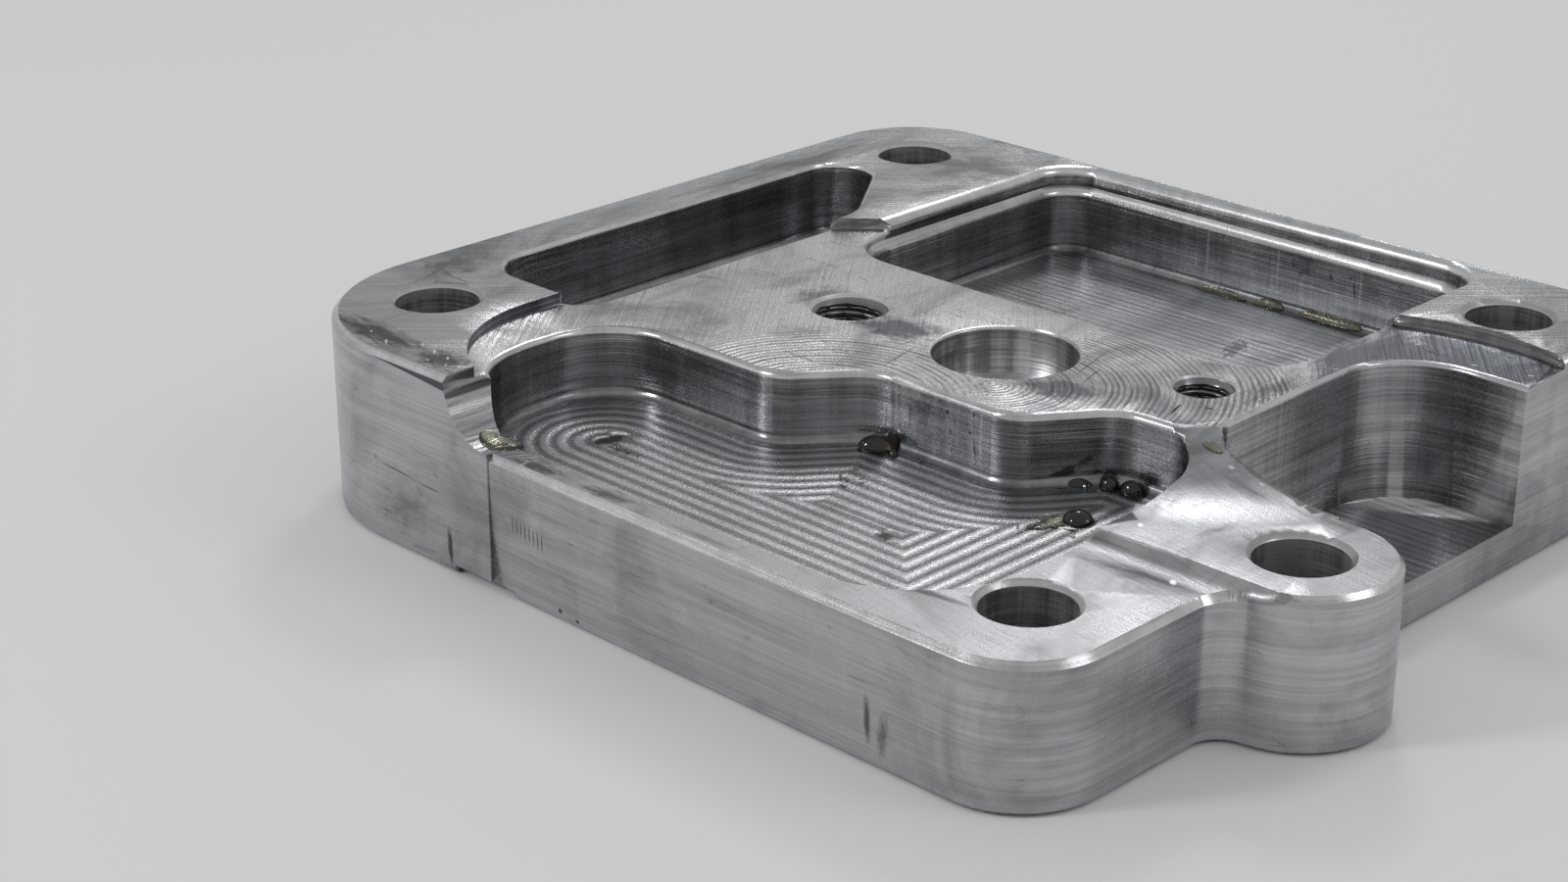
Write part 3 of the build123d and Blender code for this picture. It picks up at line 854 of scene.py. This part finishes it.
# How far each spot lies inside the outline: below zero outside it
def wallDistance(spots, outline):
    best = np.full(len(spots), 1e9)
    for a, b in zip(outline, np.roll(outline, -1, axis=0)):
        run = b - a
        share = np.clip(((spots - a) @ run) / max(run @ run, 1e-12), 0, 1)
        best = np.minimum(best, np.linalg.norm(spots - a - share[:, None] * run, axis=1))
    inside = np.zeros(len(spots), bool)
    for a, b in zip(outline, np.roll(outline, -1, axis=0)):
        crosses = (a[1] > spots[:, 1]) != (b[1] > spots[:, 1])
        rise = b[1] - a[1] if b[1] != a[1] else 1e-12
        where = a[0] + (spots[:, 1] - a[1]) * (b[0] - a[0]) / rise
        inside ^= crosses & (spots[:, 0] < where)
    return np.where(inside, best, -best)


def buildRings():
    low, high = np.array(rings["low"]), np.array(rings["high"])
    cells = np.ceil((high - low) / rings["cell"]).astype(int)
    shape = bmesh.new()
    bmesh.ops.create_grid(shape, x_segments=int(cells[0]), y_segments=int(cells[1]), size=0.5)
    middle, size = (low + high) / 2, high - low
    bmesh.ops.scale(shape, vec=(size[0] * mm, size[1] * mm, 1), verts=shape.verts)
    floorAt = (middle[0] * mm, middle[1] * mm, levels["floor"] * mm)
    bmesh.ops.translate(shape, vec=floorAt, verts=shape.verts)
    spots = np.array([v.co[:2] for v in shape.verts]) / mm
    reach = wallDistance(spots, ringOutline())
    # on the right the wall lies a little outside the cutter's path, and its front corner is round
    wide = spots.copy()
    shift = np.clip((spots[:, 0] - toolPath["shiftFrom"]) / toolPath["shiftRun"], 0, 1)
    wide[:, 0] -= shift * (toolPath["wallX"] - toolPath["rightX"])
    wall = wallDistance(wide, ringOutline())
    away = np.hypot(spots[:, 0] - toolPath["cornerX"], spots[:, 1] - toolPath["cornerY"])
    corner = toolPath["cornerR"] - away
    turned = (spots[:, 0] > toolPath["cornerX"]) & (spots[:, 1] < toolPath["cornerY"])
    wall = np.where(turned, np.minimum(wall, corner), wall)
    phase = (reach - rings["first"]) / rings["pitch"]
    crest = (0.5 - 0.5 * np.cos(phase * math.tau)) ** 0.8
    fade = np.clip((wall - rings["fade"]) / rings["blend"], 0, 1)
    reachLayer = shape.verts.layers.float.new("reach")
    crestLayer = shape.verts.layers.float.new("crest")
    lost = []
    for vert, tall, share, edge, far in zip(shape.verts, crest, fade, wall, reach):
        wobble = noise.noise(vert.co * 900) * rings["wobble"]
        x, y = vert.co.x / mm, vert.co.y / mm
        pit = sum(
            deep * math.exp(-((x - px) ** 2 + (y - py) ** 2) / spread) for px, py, spread, deep in pits)
        vert[reachLayer] = far
        vert[crestLayer] = 0.5 + (tall - 0.5 + wobble - pit * 6) * share
        rise = max(0.0, rings["height"] * (tall + wobble) - pit)
        vert.co.z += (rings["lift"] + rise * share) * mm
        if edge < rings["fade"]:
            vert.co.z -= rings["sink"] * mm
        if edge < rings["fade"] - rings["trim"]:
            lost.append(vert)
    bmesh.ops.delete(shape, geom=lost, context="VERTS")
    for face in shape.faces:
        face.smooth = True
    tree = BVHTree.FromBMesh(shape)
    finishObject("pocketRings", shape, [finishes["ringMilled"]], 60)
    return tree


ringTree = buildRings()
print("rings made")


# Wet finishes: clear cutting fluid with an olive tint, and dark oil
def makeFluid(name, colour, rough, bend):
    fluid = bpy.data.materials.new(name)
    fluid.use_nodes = True
    tree = fluid.node_tree
    shader = tree.nodes["Principled BSDF"]
    shader.inputs["Transmission Weight"].default_value = 1.0
    shader.inputs["Roughness"].default_value = rough
    shader.inputs["IOR"].default_value = bend
    place = newNode(tree, "ShaderNodeTexCoord").outputs["Object"]
    cloud = placeGroup(tree, "murk", place)["Mask"]
    shade = mixColour(tree, cloud, tint(colour, 0.86), tint(colour, 1.0))
    tree.links.new(shade, shader.inputs["Base Color"])
    return fluid


fluids = {
    "coolant": makeFluid("coolantWet", (0.98, 0.95, 0.74), 0.02, 1.36),
    "oil": makeFluid("oilWet", (0.02, 0.013, 0.008), 0.02, 1.6),
}

# Drops: x, y, length, width, height in mm, turn in degrees, how far they may climb and hang, finish
dropShape = {"wave": 0.07, "belly": 0.03, "sink": 0.012, "rounds": 9, "relax": 0.45}
drops = {
    "coolantRamp": (23.9, -11.5, 4.9, 3.6, 0.55, 28, 0.7, 0.35, "coolant"),
    "coolantRidge": (80.4, 29.3, 2.3, 1.0, 0.35, 12, 0.5, 0.5, "coolant"),
    "coolantBay": (71.7, 14.2, 2.6, 1.6, 0.22, 60, 0.1, 0.1, "coolant"),
    "oilDropFloor": (73.5, 17.9, 3.4, 3.1, 1.15, 0, 0.1, 0.1, "oil"),
    "oilDropFilm": (73.0, 17.2, 5.6, 4.2, 0.16, 40, 0.1, 0.1, "coolant"),
    "oilFootMiddle": (47.7, 17.7, 4.4, 2.8, 1.5, 35, 1.3, 0.2, "oil"),
    "oilFootMiddleSide": (50.0, 17.5, 1.2, 1.0, 0.6, 0, 0.6, 0.2, "oil"),
    "oilFootRight": (70.5, 26.4, 2.3, 2.1, 1.3, 0, 1.0, 0.2, "oil"),
    "oilFootRightWide": (73.0, 26.9, 2.9, 2.2, 1.35, 20, 1.0, 0.2, "oil"),
    "oilFootFilm": (68.3, 24.6, 2.6, 0.9, 0.3, 50, 0.7, 0.2, "oil"),
    "coolantRearLeft": (41.6, 83.6, 7.6, 1.3, 0.45, 1, 0.8, 0.1, "coolant"),
    "coolantRearMiddle": (48.1, 83.8, 4.6, 1.2, 0.4, 2, 0.8, 0.1, "coolant"),
    "coolantRearRight": (56.5, 84.0, 9.0, 1.1, 0.35, 1, 0.8, 0.1, "coolant"),
}


def groundAt(x, y):
    best = 0.0
    for tree in (metalTree, ringTree):
        hit = tree.ray_cast(Vector((x * mm, y * mm, 0.03)), Vector((0, 0, -1)))[0]
        if hit is not None:
            best = max(best, hit.z / mm)
    return best


# Drop: a sphere laid flat, each point lifted on to the metal below it
def buildDrop(name, x, y, length, width, height, turn, climb, hang, fluid, seed):
    shape = bmesh.new()
    bmesh.ops.create_uvsphere(shape, u_segments=36, v_segments=20, radius=1.0)
    base = groundAt(x, y)
    turn = math.radians(turn)
    for vert in shape.verts:
        wave = 1 + dropShape["wave"] * noise.noise(Vector((vert.co.x, vert.co.y, seed * 3.7)))
        across, along = vert.co.x * length / 2 * wave, vert.co.y * width / 2 * wave
        px = x + across * math.cos(turn) - along * math.sin(turn)
        py = y + across * math.sin(turn) + along * math.cos(turn)
        ground = min(max(groundAt(px, py), base - hang), base + climb)
        lift = (height if vert.co.z > 0 else dropShape["belly"]) * vert.co.z
        vert.co = Vector((px, py, ground + lift - dropShape["sink"])) * mm
    for _ in range(dropShape["rounds"]):
        bmesh.ops.smooth_vert(
            shape, verts=shape.verts, factor=dropShape["relax"], use_axis_x=True, use_axis_y=True,
            use_axis_z=True)
    for face in shape.faces:
        face.smooth = True
    return finishObject(name, shape, [fluids[fluid]])


for number, (name, values) in enumerate(drops.items()):
    buildDrop(name, *values, number)
print("drops made")

# Chips caught in the pocket: x, y, size in mm, turn in degrees, curl in degrees
chipShape = {"foot": 0.35, "top": 0.3, "half": 0.18, "thick": 0.12, "tilt": 1.2, "rise": 0.28, "steps": 10}
chips = [
    (49.7, 12.5, 0.8, 20, 200), (52.4, 10.3, 0.55, 80, 150), (50.4, 9.5, 0.7, 130, 210),
    (51.6, 8.7, 0.8, 15, 180), (53.0, 18.2, 0.5, 60, 160), (29.2, -0.7, 0.6, 10, 220),
    (30.6, -0.9, 0.5, 70, 160), (32.0, -0.6, 0.55, 140, 200), (67.4, 22.9, 0.5, 40, 180),
    (69.0, 24.6, 0.7, 100, 220), (70.9, 24.3, 0.6, 10, 160), (63.2, 2.4, 0.6, 50, 190),
    (75.3, 14.9, 0.6, 30, 200), (70.3, 12.9, 0.5, 120, 180),
]


def buildChips():
    shape = bmesh.new()
    for x, y, size, turn, curl in chips:
        chip = bmesh.new()
        half = size * chipShape["half"]
        line = [
            chip.verts.new((size * chipShape["foot"], 0, -half)),
            chip.verts.new((size * chipShape["top"], 0, half)),
        ]
        edge = [chip.edges.new(line)]
        bmesh.ops.spin(
            chip, geom=line + edge, cent=(0, 0, 0), axis=(0, 0, 1), angle=math.radians(curl),
            steps=chipShape["steps"])
        bmesh.ops.solidify(chip, geom=chip.faces, thickness=size * chipShape["thick"])
        for angle, axis in ((chipShape["tilt"], "X"), (math.radians(turn), "Z")):
            spun = Matrix.Rotation(angle, 3, axis)
            bmesh.ops.rotate(chip, verts=chip.verts, cent=(0, 0, 0), matrix=spun)
        rise = groundAt(x, y) + size * chipShape["rise"]
        bmesh.ops.translate(chip, verts=chip.verts, vec=(x, y, rise))
        bmesh.ops.scale(chip, verts=chip.verts, vec=(mm, mm, mm))
        bmesh.ops.recalc_face_normals(chip, faces=chip.faces)
        mesh = bpy.data.meshes.new("chip")
        chip.to_mesh(mesh)
        chip.free()
        shape.from_mesh(mesh)
        bpy.data.meshes.remove(mesh)
    for face in shape.faces:
        face.smooth = True
    return finishObject("pocketChips", shape, [finishes["chipMetal"]], 40)


buildChips()
print("chips made")


# Floor, lights, background and camera, in metres and degrees
studio = {
    "floorTone": 0.84, "floorRough": 0.7, "floorSize": 3.0, "floorZ": -0.0001, "background": 0.5,
    "aim": (0.045, 0.035, 0.01),
    "lights": {  # place, size, power
        "keyLight": ((-0.24, 0.44, 0.46), 0.12, 0.4),
        "sideLight": ((0.42, 0.20, 0.35), 0.20, 0.22),
        "frontLight": ((-0.22, -0.48, 0.40), 0.11, 0.9),
    },
    "lens": 65.2, "sensor": 36, "cameraAt": (0.227017, -0.176784, 0.122145), "cameraDown": 22.384,
    "cameraTurn": 44.721,
}


def buildStage():
    shape = bmesh.new()
    bmesh.ops.create_grid(shape, x_segments=1, y_segments=1, size=studio["floorSize"])
    mesh = bpy.data.meshes.new("studioFloor")
    shape.to_mesh(mesh)
    shape.free()
    floor = bpy.data.objects.new("studioFloor", mesh)
    bpy.context.scene.collection.objects.link(floor)
    floor.location.z = studio["floorZ"]
    paint = bpy.data.materials.new("studioFloor")
    paint.use_nodes = True
    shader = paint.node_tree.nodes["Principled BSDF"]
    shader.inputs["Base Color"].default_value = (studio["floorTone"],) * 3 + (1,)
    shader.inputs["Roughness"].default_value = studio["floorRough"]
    mesh.materials.append(paint)

    world = bpy.data.worlds.new("studio")
    bpy.context.scene.world = world
    world.use_nodes = True
    back = world.node_tree.nodes["Background"]
    back.inputs["Color"].default_value = (1, 1, 1, 1)
    back.inputs["Strength"].default_value = studio["background"]

    for name, (place, size, power) in studio["lights"].items():
        data = bpy.data.lights.new(name, "AREA")
        data.shape = "SQUARE"
        data.size = size
        data.energy = power
        lamp = bpy.data.objects.new(name, data)
        lamp.location = place
        aim = Vector(studio["aim"]) - Vector(place)
        lamp.rotation_euler = aim.to_track_quat("-Z", "Y").to_euler()
        bpy.context.scene.collection.objects.link(lamp)

    data = bpy.data.cameras.new("camera")
    data.lens = studio["lens"]
    data.sensor_width = studio["sensor"]
    data.clip_start = 0.01
    camera = bpy.data.objects.new("camera", data)
    camera.location = studio["cameraAt"]
    camera.rotation_euler = (
        math.radians(90 - studio["cameraDown"]), 0, math.radians(studio["cameraTurn"]))
    bpy.context.scene.collection.objects.link(camera)
    bpy.context.scene.camera = camera
    bpy.context.scene.view_settings.view_transform = "Standard"


buildStage()
print("stage made")

bpy.context.view_layer.update()
